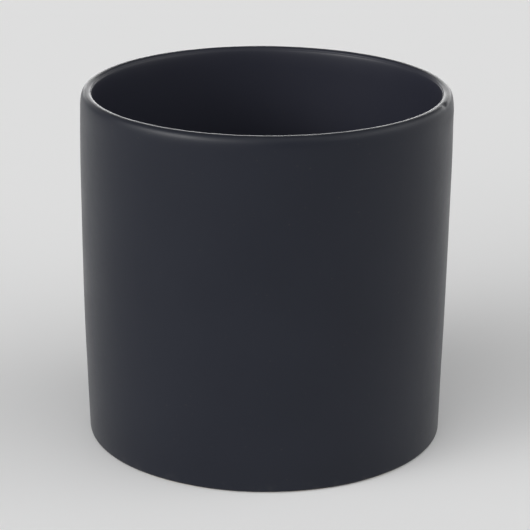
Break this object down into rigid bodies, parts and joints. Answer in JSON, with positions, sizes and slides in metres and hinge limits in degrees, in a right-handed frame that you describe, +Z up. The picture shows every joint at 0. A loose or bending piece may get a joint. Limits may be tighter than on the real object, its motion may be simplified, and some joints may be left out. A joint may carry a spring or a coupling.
{
  "type": "candle jar",
  "caption": "Empty straight-sided candle jar in dark satin-glazed stoneware, open at the top, with a rounded lip, a flat inner floor and a recessed foot.",
  "frame": {"origin": "centre of the foot, on the surface that the jar stands on", "axes": "+Z up along the jar's axis, out of its mouth; the jar is round, so +X and +Y are any two square directions across it"},
  "size_m": [0.1202, 0.1202, 0.116],
  "materials": {
    "satin_glaze": "satin"
  },
  "bodies": {
    "root": {"jar_body": "satin_glaze"}
  },
  "joints": []
}
